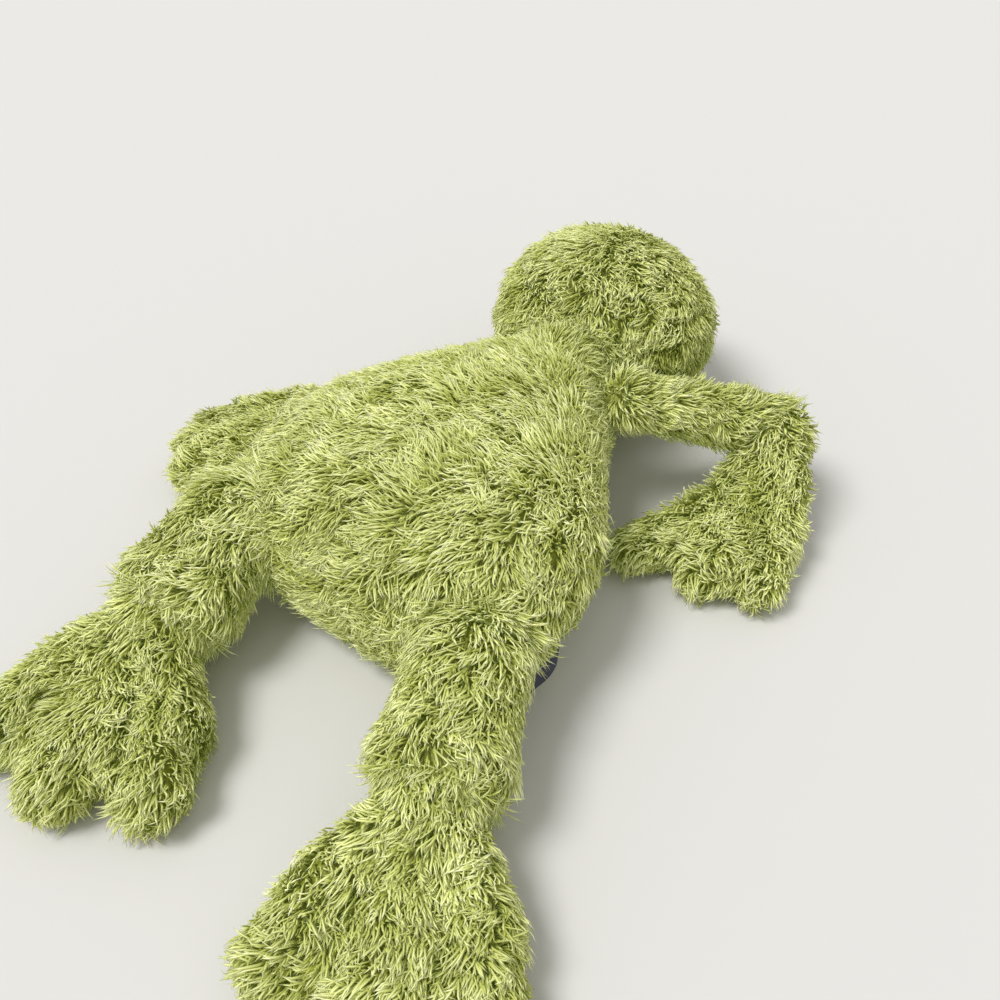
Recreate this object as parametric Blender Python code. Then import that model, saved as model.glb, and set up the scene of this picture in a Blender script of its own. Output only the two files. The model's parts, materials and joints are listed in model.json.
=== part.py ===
"""Plush frog lying on its belly: sewn covers, loose fillings, eyes, label and seam threads.

Metres, +Z up. The origin lies on the table under the middle of the belly, the head points
along -Y and the frog's right side is at -X. Covers are the cloth with its pile as one wall.
"""
import math

import bmesh
import bpy
from mathutils import Matrix, Vector

for old in list(bpy.data.objects):
    bpy.data.objects.remove(old, do_unlink=True)

# Cloth, thread and the small clearances between sewn pieces
PILE_WALL = 0.0060
FILL_GAP = 0.0008
SEAM_GAP = 0.0003
LIMB_GAP = 0.0015
THREAD_RADIUS = 0.0005
REST_CUT = 0.0005
OVERRUN = 0.0400

# Torso, a pear seen from above, flattened by its own weight
TORSO_REAR = 0.0890
TORSO_FRONT = 0.1000
TORSO_HALF_WIDTH = 0.0990
TORSO_HEIGHT = 0.1080
TORSO_SHARES = (
    # along (rump 1, neck -1), half width, height of the top, height of the underside
    (0.99, 0.44, 0.48, 0.22),
    (0.93, 0.68, 0.65, 0.11),
    (0.79, 0.88, 0.79, 0.03),
    (0.55, 0.99, 0.91, 0.01),
    (0.26, 1.00, 0.98, 0.00),
    (-0.06, 0.93, 1.00, 0.00),
    (-0.36, 0.76, 0.97, 0.02),
    (-0.60, 0.60, 0.92, 0.07),
    (-0.80, 0.51, 0.87, 0.11),
    (-0.93, 0.46, 0.82, 0.17),
)
PELLET_LEVEL = 0.0360

# Neck joint: a round stub of the torso that sits in a round hollow of the head
NECK_HEIGHT = 0.0580
NECK_RADIUS = 0.0330
NECK_OPENING = 0.0120

# Head, a ball with two eye mounds
HEAD_OFFSET = 0.0720
HEAD_HALF_WIDTH = 0.0680
HEAD_HALF_LENGTH = 0.0610
HEAD_HEIGHT = 0.1120
HEAD_YAW = 8.0
MOUND_RADIUS = 0.0145
MOUND_SPACING = 0.0440
MOUND_FORWARD = 0.0465
MOUND_HEIGHT_SHARE = 0.57

# Eyes, moulded domes on shanks, each held by a washer behind the cloth
EYE_RADIUS = 0.0065
EYE_DOME = 0.0040
EYE_FLANGE = 0.0010
SHANK_RADIUS = 0.0020
SHANK_TAIL = 0.0025
EYE_SEAT = 0.0004
WASHER_RADIUS = 0.0050
WASHER_THICKNESS = 0.0012
WASHER_GAP = 0.0003
EYE_LEAN = 12.0

# Mouth, one line of thread across the front of the head
MOUTH_HALF_ANGLE = 48.0
MOUTH_HEIGHT = 0.0440
MOUTH_CORNER_RISE = 0.0080
MOUTH_THREAD_RADIUS = 0.0008

# Arms
SHOULDER_SPACING = 0.0990
SHOULDER_FORWARD = 0.1010
SHOULDER_RADIUS = 0.0155
ARM_RADIUS = 0.0175
ARM_LENGTH = 0.0930
ELBOW_RADIUS = 0.0140
ARM_OPENING = 0.0050

# Hands with three fingers
HAND_PALM = 0.0580
HAND_WRIST_HALF_WIDTH = 0.0185
HAND_PALM_HALF_WIDTH = 0.0360
HAND_FINGER = 0.0520
HAND_THUMB = 0.0720
HAND_FINGER_HALF_WIDTH = 0.0155
HAND_SPLAY = 46.0
HAND_THICKNESS = 0.0360
HAND_TIP_THICKNESS = 0.0240

# Legs
HIP_SPACING = 0.1500
HIP_REAR = 0.0800
HIP_HEIGHT = 0.0480
HIP_RADIUS = 0.0280
LEG_RADIUS = 0.0335
LEG_LENGTH = 0.0600
LEG_END_RADIUS = 0.0275
ANKLE_RADIUS = 0.0245
ANKLE_HEIGHT = 0.0300
LEG_OPENING = 0.0080

# Feet with three toes
FOOT_PALM = 0.0440
FOOT_ANKLE_HALF_WIDTH = 0.0265
FOOT_PALM_HALF_WIDTH = 0.0490
FOOT_TOE = 0.0690
FOOT_MIDDLE_TOE = 0.0600
FOOT_TOE_HALF_WIDTH = 0.0185
FOOT_SPLAY = 56.0
FOOT_THICKNESS = 0.0400
FOOT_TIP_THICKNESS = 0.0270

# Label, a folded woven strip caught in the right side seam
LABEL_LENGTH = 0.0240
LABEL_REACH = 0.0130
LABEL_CLOTH = 0.0006
LABEL_FOLD = 0.0008
LABEL_REAR = 0.0370
LABEL_DROOP = 74.0
LABEL_SEAM_ANGLE = 18.0

# How the frog lies: headings are degrees from straight back, outwards positive
RIGHT = {"side": -1, "name": "right", "arm": 127.0, "hand": 2.0,
         "leg": 21.0, "foot": 22.0, "shoulder_height": 0.0700,
         "elbow_height": 0.0470}
LEFT = {"side": 1, "name": "left", "arm": 50.0, "hand": 23.0,
        "leg": -4.0, "foot": -14.0, "shoulder_height": 0.0400,
        "elbow_height": 0.0190}

# Rings, shares of a form and facet counts
TORSO_SIDES = 18
HEAD_SIDES = 16
FORM_SIDES = 14
CORE_SIDES = 16
FILL_SIDES = 8
BALL_SIDES = 16
THREAD_SIDES = 4
SEAM_STEPS = 24
EYE_SIDES = 14
EYE_RINGS = 4
MOUTH_STEPS = 14
MERGE_DISTANCE = 0.00001
NECK_POLARS = (104, 84, 64, 44, 28)
NECK_SEAM_POLAR = 54.0
HEAD_POLARS = (14, 36, 63, 90, 117, 144, 166)
HEAD_FULLNESS = 0.92
LIMB_ROOT_SHARES = ((0.00, 0.88), (0.40, 0.98))
LIMB_SHARES = ((0.10, 0.25), (0.30, 0.62), (0.55, 0.92), (0.78, 1.00), (1.00, 1.00))
LIMB_FULL_SHARE = 0.50
LIMB_FLAT_SHARE = 0.94
ARM_END_SHARE = 0.30
LEG_END_SHARE = 0.10
LIMB_SEAM_POLAR = 116.0
PAW_ROOT_SHARE = 0.32
PAW_SIDE_SHARE = 0.80
PAW_LAYER_SHARES = ((0.0, 0.50), (0.22, 0.12), (0.5, 0.0), (0.78, 0.12), (1.0, 0.50))
PAW_FILL_SHARES = ((0.0, 0.25), (0.5, 0.0), (1.0, 0.25))
TOE_ROUND_SHARE = 0.90
TOE_STEPS = 4


def dyed(name, colour, roughness):
    """A material of one colour and roughness."""
    material = bpy.data.materials.new(name)
    material.use_nodes = True
    shader = material.node_tree.nodes["Principled BSDF"]
    shader.inputs["Base Color"].default_value = (*colour, 1)
    shader.inputs["Roughness"].default_value = roughness
    shader.inputs["Metallic"].default_value = 0
    return material


PLUSH = dyed("lime_plush", (0.33, 0.40, 0.12), 0.95)
FIBRE = dyed("polyester_fibre", (0.85, 0.85, 0.82), 0.95)
PELLETS = dyed("pellet_bag_cloth", (0.78, 0.77, 0.72), 0.9)
EYE_PLASTIC = dyed("black_eye_plastic", (0.01, 0.01, 0.011), 0.15)
WASHER_PLASTIC = dyed("washer_plastic", (0.8, 0.8, 0.78), 0.5)
GREEN_THREAD = dyed("green_thread", (0.22, 0.30, 0.08), 0.8)
DARK_THREAD = dyed("dark_thread", (0.03, 0.04, 0.02), 0.8)
LABEL_WEAVE = dyed("navy_label_weave", (0.015, 0.016, 0.03), 0.7)


def place(name, form, material, at=None):
    """Turn a bmesh into a smooth-shaded object with outward faces."""
    bmesh.ops.recalc_face_normals(form, faces=form.faces)
    mesh = bpy.data.meshes.new(name)
    form.to_mesh(mesh)
    form.free()
    mesh.shade_smooth()
    piece = bpy.data.objects.new(name, mesh)
    bpy.context.collection.objects.link(piece)
    if material:
        mesh.materials.append(material)
    else:
        piece.hide_render = True
        piece.display_type = "WIRE"
    if at:
        piece.matrix_world = at
    return piece


def cut(piece, tool, operation="DIFFERENCE"):
    """Boolean of a piece with a hidden tool."""
    change = piece.modifiers.new(tool.name, "BOOLEAN")
    change.operation = operation
    change.solver = "EXACT"
    change.object = tool
    return piece


def section(along, across, up, lift=0.0):
    """Matrix that lays a unit circle across +Y as an ellipse."""
    return Matrix((
        (across, 0, 0, 0),
        (0, 0, 1, along),
        (0, up, 0, lift),
        (0, 0, 0, 1),
    ))


def drawn_form(sections, sides):
    """A closed form whose rings are extruded one from the next."""
    form = bmesh.new()
    last = sections[0]
    bmesh.ops.create_circle(form, segments=sides, radius=1, matrix=last)
    ring = list(form.edges)
    for step in sections[1:]:
        drawn = bmesh.ops.extrude_edge_only(form, edges=ring)["geom"]
        ring = [item for item in drawn if isinstance(item, bmesh.types.BMEdge)]
        corners = [item for item in drawn if isinstance(item, bmesh.types.BMVert)]
        bmesh.ops.transform(form, matrix=step @ last.inverted(), verts=corners)
        last = step
    bmesh.ops.holes_fill(form, edges=[edge for edge in form.edges if edge.is_boundary], sides=0)
    bmesh.ops.triangulate(form, faces=form.faces, quad_method="FIXED")
    return form


def ball_tool(name, centre, radius):
    """A hidden ball whose flat facets stay outside the given radius."""
    form = bmesh.new()
    grown = radius / math.cos(math.pi / BALL_SIDES) ** 2
    bmesh.ops.create_uvsphere(form, u_segments=BALL_SIDES, v_segments=BALL_SIDES // 2, radius=grown)
    return place(name, form, None, Matrix.Translation(centre))


def ball_core(name, at, radius):
    """A hidden ball that a limb's root is joined with, its poles along the limb."""
    form = bmesh.new()
    stand = Matrix.Rotation(math.pi / 2, 4, "X")
    bmesh.ops.create_uvsphere(
        form, u_segments=CORE_SIDES, v_segments=CORE_SIDES // 2, radius=radius, matrix=stand,
    )
    return place(name, form, None, at)


def slab_tool(name, centre, facing):
    """A hidden block that fills everything beyond a plane through a point."""
    form = bmesh.new()
    bmesh.ops.create_cube(form, size=2, matrix=Matrix.Translation((0, 0, 1)))
    reach = 2 * (TORSO_FRONT + TORSO_REAR)
    bmesh.ops.scale(form, vec=(reach, reach, reach), verts=form.verts)
    turn = Vector(facing).to_track_quat("Z", "Y").to_matrix().to_4x4()
    return place(name, form, None, Matrix.Translation(centre) @ turn)


TABLE = slab_tool("table_plane", (0, 0, 0), (0, 0, -1))


def seam_ring(name, at, ball_radius, polar):
    """A ring of sewing thread round a limb's ball, at an angle from the limb's own +Y."""
    form = bmesh.new()
    shell = ball_radius + SEAM_GAP + THREAD_RADIUS
    reach = shell * math.sin(math.radians(polar))
    shift = shell * math.cos(math.radians(polar))
    spot = Matrix.Translation((reach, shift, 0))
    bmesh.ops.create_circle(form, segments=THREAD_SIDES, radius=THREAD_RADIUS, matrix=spot)
    bmesh.ops.spin(
        form, geom=form.edges[:], cent=(0, shift, 0), axis=(0, 1, 0), angle=math.tau,
        steps=SEAM_STEPS, use_merge=True,
    )
    return place(name, form, GREEN_THREAD, at)


def ball_sections(radius, polars, facing=1, centre=(0, 0)):
    """Rings of a ball at angles from +Y, or from -Y where facing is -1."""
    rings = []
    for polar in polars:
        angle = math.radians(polar)
        along = centre[0] + facing * radius * math.cos(angle)
        rings.append(section(along, radius * math.sin(angle), radius * math.sin(angle), centre[1]))
    return rings


def heading_direction(side, heading, drop):
    """Unit vector of a limb from its heading outwards and its drop towards the table."""
    level = math.cos(drop)
    angle = math.radians(heading)
    return Vector((side * math.sin(angle) * level, math.cos(angle) * level, -math.sin(drop)))


def limb_frame(centre, side, heading, drop):
    """World matrix of a limb: origin on its joint, +Y along it, +Z up."""
    turn = Matrix.Rotation(-side * math.radians(heading), 4, "Z")
    return Matrix.Translation(centre) @ turn @ Matrix.Rotation(-drop, 4, "X")


# Torso


def torso_sections(inset):
    """Rings of the torso from rump to shoulders, drawn in by an inset."""
    rings = []
    for along_share, width_share, top_share, under_share in TORSO_SHARES:
        reach = TORSO_REAR if along_share > 0 else TORSO_FRONT
        rear_share = (TORSO_REAR - inset) / TORSO_REAR
        top = TORSO_HEIGHT * top_share - inset
        under = TORSO_HEIGHT * under_share - REST_CUT + inset
        rings.append(section(
            along_share * reach * rear_share,
            TORSO_HALF_WIDTH * width_share * (1 - inset / TORSO_HALF_WIDTH / width_share),
            (top - under) / 2,
            (top + under) / 2,
        ))
    return rings


def joint_centres():
    """Where each limb's ball sits: its centre, its ball's radius and a name."""
    spots = []
    for pose in (RIGHT, LEFT):
        side = pose["side"]
        shoulder = Vector((side * SHOULDER_SPACING / 2, -SHOULDER_FORWARD, pose["shoulder_height"]))
        hip = Vector((side * HIP_SPACING / 2, HIP_REAR, HIP_HEIGHT))
        spots.append((shoulder, SHOULDER_RADIUS, pose["name"] + "_shoulder"))
        spots.append((hip, HIP_RADIUS, pose["name"] + "_hip"))
    return spots


NECK = Vector((0, -TORSO_FRONT, NECK_HEIGHT))
SEAM_SHELL = 2 * SEAM_GAP + 2 * THREAD_RADIUS


def torso_inner(name, inset, material, neck_tunnel=False):
    """The torso's inside, kept clear of the hollows that hold the limbs."""
    rings = torso_sections(inset)[1:]
    if neck_tunnel:
        end = -TORSO_FRONT - NECK_RADIUS - OVERRUN
        rings.append(section(-TORSO_FRONT, NECK_OPENING, NECK_OPENING, NECK_HEIGHT))
        rings.append(section(end, NECK_OPENING, NECK_OPENING, NECK_HEIGHT))
    inner = place(name, drawn_form(rings, FORM_SIDES), material)
    for centre, radius, spot in joint_centres():
        cut(inner, ball_tool(name + "_" + spot, centre, radius + SEAM_SHELL + inset))
    return inner


def make_torso():
    """Cover with its hollows, fibre filling above and pellets below."""
    rings = torso_sections(0)
    rings += ball_sections(NECK_RADIUS, NECK_POLARS, -1, (-TORSO_FRONT, NECK_HEIGHT))
    cover = place("torso_cover", drawn_form(rings, TORSO_SIDES), PLUSH)
    for centre, radius, spot in joint_centres():
        cut(cover, ball_tool(spot + "_hollow", centre, radius + SEAM_SHELL))
    cut(cover, torso_inner("torso_inside", PILE_WALL, None, neck_tunnel=True))
    cut(cover, TABLE)
    level = Vector((0, 0, PELLET_LEVEL))
    gap = Vector((0, 0, FILL_GAP / 2))
    stuffing = torso_inner("torso_stuffing", PILE_WALL + FILL_GAP, FIBRE)
    cut(stuffing, slab_tool("below_stuffing", level + gap, (0, 0, -1)))
    pellets = torso_inner("torso_pellet_bag", PILE_WALL + FILL_GAP, PELLETS)
    cut(pellets, slab_tool("above_pellets", level - gap, (0, 0, 1)))


# Head

HEAD_CENTRE = Vector((0, -TORSO_FRONT - HEAD_OFFSET, HEAD_HEIGHT / 2))
HEAD_FRAME = (
    Matrix.Translation(NECK)
    @ Matrix.Rotation(math.radians(HEAD_YAW), 4, "Z")
)
HEAD_LOCAL = HEAD_CENTRE - NECK


def head_form(inset):
    """The head as rings from the nape to the snout, in the neck joint's frame."""
    rings = []
    for polar in HEAD_POLARS:
        angle = math.radians(polar)
        along = HEAD_LOCAL.y + (HEAD_HALF_LENGTH - inset) * math.cos(angle)
        spread = math.sin(angle) ** HEAD_FULLNESS
        across = (HEAD_HALF_WIDTH - inset) * spread
        up = (HEAD_HEIGHT / 2 + REST_CUT - inset) * spread
        rings.append(section(along, across, up, HEAD_LOCAL.z))
    return drawn_form(rings, HEAD_SIDES)


def mound_centre(side):
    """Middle of an eye mound in the neck joint's frame."""
    return Vector((
        side * MOUND_SPACING / 2,
        HEAD_LOCAL.y - MOUND_FORWARD,
        HEAD_HEIGHT * MOUND_HEIGHT_SHARE - NECK_HEIGHT,
    ))


def eye_frame(side):
    """World matrix of an eye: origin on the mound's skin, +Z out of it."""
    lean = math.radians(EYE_LEAN)
    facing = Vector((side * math.sin(lean), -math.cos(lean), 0))
    spot = mound_centre(side) + facing * (MOUND_RADIUS + EYE_SEAT)
    return HEAD_FRAME @ Matrix.Translation(spot) @ facing.to_track_quat("Z", "Y").to_matrix().to_4x4()


def turned_form(profile, steps, closed):
    """Spin a profile of (radius, height) points round Z into a closed form."""
    form = bmesh.new()
    points = [form.verts.new((radius, 0, height)) for radius, height in profile]
    for first, second in zip(points, points[1:]):
        form.edges.new((first, second))
    if closed:
        form.edges.new((points[-1], points[0]))
    bmesh.ops.spin(
        form, geom=form.edges[:], cent=(0, 0, 0), axis=(0, 0, 1), angle=math.tau,
        steps=steps, use_merge=True,
    )
    bmesh.ops.remove_doubles(form, verts=form.verts, dist=MERGE_DISTANCE)
    return form


def make_eye(side, name):
    """Domed plastic eye whose shank passes the cloth into its washer."""
    hollow = MOUND_RADIUS - PILE_WALL - SEAM_GAP
    top = math.sqrt(hollow ** 2 - WASHER_RADIUS ** 2) - MOUND_RADIUS - EYE_SEAT
    low = top - WASHER_THICKNESS
    shank_end = low - SHANK_TAIL
    profile = [(0, shank_end), (SHANK_RADIUS, shank_end), (SHANK_RADIUS, 0), (EYE_RADIUS, 0)]
    profile.append((EYE_RADIUS, EYE_FLANGE))
    for step in range(1, EYE_RINGS):
        angle = math.pi / 2 * step / EYE_RINGS
        profile.append((EYE_RADIUS * math.cos(angle), EYE_FLANGE + EYE_DOME * math.sin(angle)))
    profile.append((0, EYE_FLANGE + EYE_DOME))
    place(name + "_eye", turned_form(profile, EYE_SIDES, False), EYE_PLASTIC, eye_frame(side))
    inner = SHANK_RADIUS + WASHER_GAP
    ring = [(inner, low), (WASHER_RADIUS, low), (WASHER_RADIUS, top), (inner, top)]
    place(name + "_eye_washer", turned_form(ring, EYE_SIDES, True), WASHER_PLASTIC, eye_frame(side))


def shank_tool(side, name):
    """Hidden rod that opens the cloth for an eye's shank."""
    form = bmesh.new()
    depth = 2 * MOUND_RADIUS
    radius = SHANK_RADIUS + SEAM_GAP
    bmesh.ops.create_cone(
        form, cap_ends=True, segments=EYE_SIDES, radius1=radius, radius2=radius, depth=depth,
    )
    return place(name + "_shank_hole", form, None, eye_frame(side))


def make_mouth():
    """A bent line of thread laid on the front of the head."""
    points = []
    half_height = HEAD_HEIGHT / 2 + REST_CUT
    proud_share = 1 + (SEAM_GAP + MOUTH_THREAD_RADIUS) / HEAD_HALF_LENGTH
    for step in range(MOUTH_STEPS + 1):
        share = 2 * step / MOUTH_STEPS - 1
        across_share = share * math.sin(math.radians(MOUTH_HALF_ANGLE))
        rise = MOUTH_HEIGHT + MOUTH_CORNER_RISE * share * share - HEAD_CENTRE.z
        spread = math.hypot(across_share, rise / half_height)
        ahead = math.sqrt(1 - spread ** (2 / HEAD_FULLNESS))
        reach = Vector((HEAD_HALF_WIDTH * across_share, -HEAD_HALF_LENGTH * ahead, rise))
        points.append(HEAD_LOCAL + reach * proud_share)
    curve = bpy.data.curves.new("mouth_thread", "CURVE")
    curve.dimensions = "3D"
    curve.bevel_depth = MOUTH_THREAD_RADIUS
    curve.bevel_resolution = 0
    curve.use_fill_caps = True
    line = curve.splines.new("POLY")
    line.points.add(len(points) - 1)
    for spot, point in zip(line.points, points):
        spot.co = (*point, 1)
    curve.materials.append(DARK_THREAD)
    mouth = bpy.data.objects.new("mouth_thread", curve)
    bpy.context.collection.objects.link(mouth)
    mouth.matrix_world = HEAD_FRAME


def make_head():
    """Cover with eye mounds and neck hollow, its filling, eyes and mouth."""
    cover = place("head_cover", head_form(0), PLUSH, HEAD_FRAME)
    for side, name in ((-1, "right"), (1, "left")):
        spot = HEAD_FRAME @ Matrix.Translation(mound_centre(side))
        cut(cover, ball_core(name + "_mound", spot, MOUND_RADIUS), "UNION")
    cut(cover, ball_tool("neck_hollow", NECK, NECK_RADIUS + SEAM_SHELL))
    inside = place("head_inside", head_form(PILE_WALL), None, HEAD_FRAME)
    cut(inside, ball_tool("head_inside_neck", NECK, NECK_RADIUS + SEAM_SHELL + PILE_WALL))
    cut(cover, inside)
    tunnel = [section(HEAD_LOCAL.y, NECK_OPENING, NECK_OPENING), section(0, NECK_OPENING, NECK_OPENING)]
    cut(cover, place("head_tunnel", drawn_form(tunnel, FILL_SIDES), None, HEAD_FRAME))
    for side, name in ((-1, "right"), (1, "left")):
        spot = HEAD_FRAME @ Matrix.Translation(mound_centre(side))
        cut(cover, ball_tool(name + "_mound_inside", spot.to_translation(), MOUND_RADIUS - PILE_WALL))
        cut(cover, shank_tool(side, name))
        make_eye(side, name)
    cut(cover, TABLE)
    deep = PILE_WALL + FILL_GAP
    stuffing = place("head_stuffing", head_form(deep), FIBRE, HEAD_FRAME)
    cut(stuffing, ball_tool("head_stuffing_neck", NECK, NECK_RADIUS + SEAM_SHELL + deep))
    for side, name in ((-1, "right"), (1, "left")):
        spot = HEAD_FRAME @ mound_centre(side)
        cut(stuffing, ball_tool(name + "_mound_room", spot, MOUND_RADIUS - PILE_WALL + FILL_GAP))
    make_mouth()
    at = HEAD_FRAME @ Matrix.Rotation(math.pi, 4, "Z")
    seam_ring("neck_seam_thread", at, NECK_RADIUS, NECK_SEAM_POLAR)


# Limbs


def limb_sections(spec, inset):
    """Rings of a limb from the middle of its ball out to its far end, drawn in by an inset."""
    ball, radius, length, end_gap, end_radius, _opening = spec
    rings = []
    for along_share, width_share in LIMB_ROOT_SHARES:
        across = ball * width_share - inset
        rings.append(section(ball * along_share + inset, across, across))
    reach = length - end_gap - ball
    for along_share, width_share in LIMB_SHARES:
        across = ball + (radius - ball) * width_share
        if along_share > LIMB_FULL_SHARE:
            fade = (along_share - LIMB_FULL_SHARE) / (1 - LIMB_FULL_SHARE)
            across = radius + (end_radius - radius) * fade
        across -= inset
        rings.append(section(ball + reach * along_share, across, across * LIMB_FLAT_SHARE))
    return rings


def beside_torso(name, away):
    """A hidden torso grown all round, which clears what lies against it."""
    return place(name + "_beside_torso", drawn_form(torso_sections(-away), FORM_SIDES), None)


def make_limb(name, at, spec, end_cuts):
    """A limb's cover, open at both ends, and its fibre filling."""
    ball, _radius, length, _end_gap, _end_radius, opening = spec
    layers = (
        ("_cover", 0, FORM_SIDES, PLUSH),
        ("_inside", PILE_WALL, FILL_SIDES, None),
        ("_stuffing", PILE_WALL + FILL_GAP, FILL_SIDES, FIBRE),
    )
    made = []
    for ending, inset, sides, material in layers:
        label = name + ending
        layer = place(label, drawn_form(limb_sections(spec, inset), sides), material, at)
        cut(layer, beside_torso(label, LIMB_GAP + inset))
        if not inset:
            cut(layer, ball_core(name + "_ball", at, ball), "UNION")
        for tool in end_cuts(label, inset):
            cut(layer, tool)
        made.append(layer)
    cover, inside, _stuffing = made
    cut(cover, inside)
    tunnel = [section(-ball - OVERRUN, opening, opening), section(length + OVERRUN, opening, opening)]
    cut(cover, place(name + "_tunnel", drawn_form(tunnel, FILL_SIDES), None, at))
    cut(cover, TABLE)


def paw_outline(spec, inset):
    """Points round a hand or foot seen from above, drawn in by an inset."""
    palm = Vector((0, spec["palm"]))
    root = spec["root_half_width"] - inset
    broad = spec["palm_half_width"] - inset
    points = [Vector((root, spec["root"] + inset)), Vector((broad, spec["palm"] * PAW_SIDE_SHARE))]
    digits = spec["digits"]
    for number, (degrees, length, half_width) in enumerate(digits):
        angle = math.radians(degrees)
        along = Vector((math.sin(angle), math.cos(angle)))
        across = Vector((math.cos(angle), -math.sin(angle)))
        if number:
            middle = math.radians((degrees + digits[number - 1][0]) / 2)
            spread = abs(degrees - digits[number - 1][0]) / 2
            notch = (half_width - inset) / math.sin(math.radians(spread))
            points.append(palm + Vector((math.sin(middle), math.cos(middle))) * notch)
        wide = half_width - inset
        heel = length - inset - wide * TOE_ROUND_SHARE
        for step in range(TOE_STEPS + 1):
            turn = math.pi / 2 - math.pi * step / TOE_STEPS
            ahead = heel + wide * TOE_ROUND_SHARE * math.cos(turn)
            points.append(palm + along * ahead + across * wide * math.sin(turn))
    points += [Vector((-broad, spec["palm"] * PAW_SIDE_SHARE)), Vector((-root, spec["root"] + inset))]
    return points


def paw_form(spec, inset, layer_shares):
    """A pillow between two cloths sewn round a hand's or foot's outline."""
    form = bmesh.new()
    loops = []
    creases = []
    level = -spec["height"] - REST_CUT
    for rise_share, deeper_share in layer_shares:
        points = paw_outline(spec, inset + spec["digits"][0][2] * deeper_share)
        corners = []
        for point in points:
            away = max(0, point.y) / (spec["palm"] + spec["digits"][0][1])
            at_root = point in (points[0], points[-1])
            under = (-spec["thickness"] / 2 if at_root else level) + inset
            thick = spec["thickness"] + (spec["tip_thickness"] - spec["thickness"]) * away - 2 * inset
            corners.append(form.verts.new((point.x, point.y, under + thick * rise_share)))
        pairs = zip(corners, corners[1:] + corners[:1])
        loops.append([form.edges.new(pair) for pair in pairs])
        creases.append((corners[1], corners[-2]))
    for lower, upper in zip(loops, loops[1:]):
        bmesh.ops.bridge_loops(form, edges=lower + upper)
    bmesh.ops.holes_fill(form, edges=loops[0] + loops[-1], sides=0)
    for pair in (creases[0], creases[-1]):
        bmesh.ops.connect_verts(form, verts=pair)
    return form


def fold_tool(name, fold, inset):
    """A hidden block behind the plane where a folded limb meets the one before it."""
    centre, facing = fold
    return slab_tool(name, centre + facing * (SEAM_GAP / 2 + inset), -facing)


def make_paw(name, filling, at, before, spec, fold=None):
    """A hand's or foot's cover with its ball, open towards the limb before it, and its pellets."""
    cover = place(name + "_cover", paw_form(spec, 0, PAW_LAYER_SHARES), PLUSH, at)
    inside = place(name + "_inside", paw_form(spec, PILE_WALL, PAW_FILL_SHARES), None, at)
    deep = PILE_WALL + FILL_GAP
    pellets = place(filling, paw_form(spec, deep, PAW_FILL_SHARES), PELLETS, at)
    if fold:
        cut(cover, fold_tool(name + "_fold", fold, 0))
        cut(inside, fold_tool(name + "_inside_fold", fold, PILE_WALL))
        cut(pellets, fold_tool(filling + "_fold", fold, deep))
    cut(cover, ball_core(name + "_ball", at, spec["ball"]), "UNION")
    cut(cover, inside)
    opening = spec["opening"]
    mouth = spec["root"] + PILE_WALL + opening
    tunnel = [section(0, opening, opening), section(mouth, opening, opening)]
    cut(cover, place(name + "_tunnel", drawn_form(tunnel, FILL_SIDES), None, at))
    wide = opening + FILL_GAP
    tunnel = [section(-spec["ball"] - OVERRUN, wide, wide), section(FILL_GAP, wide, wide)]
    cut(cover, place(name + "_root_tunnel", drawn_form(tunnel, FILL_SIDES), None, before))
    cut(cover, TABLE)


def make_arm(pose):
    """Upper arm on its shoulder seam, and the forearm that ends in the hand."""
    side, name = pose["side"], pose["name"]
    shoulder = Vector((side * SHOULDER_SPACING / 2, -SHOULDER_FORWARD, pose["shoulder_height"]))
    drop = math.asin((pose["shoulder_height"] - pose["elbow_height"]) / ARM_LENGTH)
    at = limb_frame(shoulder, side, pose["arm"], drop)
    elbow = shoulder + heading_direction(side, pose["arm"], drop) * ARM_LENGTH
    seam_ring(name + "_shoulder_seam_thread", at, SHOULDER_RADIUS, LIMB_SEAM_POLAR)
    back = -heading_direction(side, pose["arm"], 0)
    out = heading_direction(side, pose["hand"], 0)
    facing = (out - back).normalized()

    def end_cuts(label, inset):
        return (
            ball_tool(label + "_elbow_hollow", elbow, ELBOW_RADIUS + SEAM_GAP + inset),
            fold_tool(label + "_elbow_fold", (elbow, -facing), inset),
        )

    end_gap = ELBOW_RADIUS * ARM_END_SHARE
    spec = (SHOULDER_RADIUS, ARM_RADIUS, ARM_LENGTH, end_gap, ARM_RADIUS, ARM_OPENING)
    make_limb(name + "_upper_arm", at, spec, end_cuts)
    fingers = [
        (HAND_SPLAY, HAND_THUMB, HAND_FINGER_HALF_WIDTH),
        (0, HAND_FINGER, HAND_FINGER_HALF_WIDTH),
        (-HAND_SPLAY, HAND_FINGER, HAND_FINGER_HALF_WIDTH),
    ]
    if side > 0:
        fingers = [(-degrees, length, wide) for degrees, length, wide in reversed(fingers)]
    hand = {
        "root": ELBOW_RADIUS * PAW_ROOT_SHARE, "root_half_width": HAND_WRIST_HALF_WIDTH,
        "palm": HAND_PALM, "palm_half_width": HAND_PALM_HALF_WIDTH, "digits": fingers,
        "height": pose["elbow_height"], "thickness": HAND_THICKNESS, "tip_thickness": HAND_TIP_THICKNESS,
        "ball": ELBOW_RADIUS, "opening": ARM_OPENING,
    }
    at = limb_frame(elbow, side, pose["hand"], 0)
    before = limb_frame(elbow, side, pose["arm"], drop)
    make_paw(name + "_forearm", name + "_hand_pellet_bag", at, before, hand, (elbow, facing))


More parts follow.
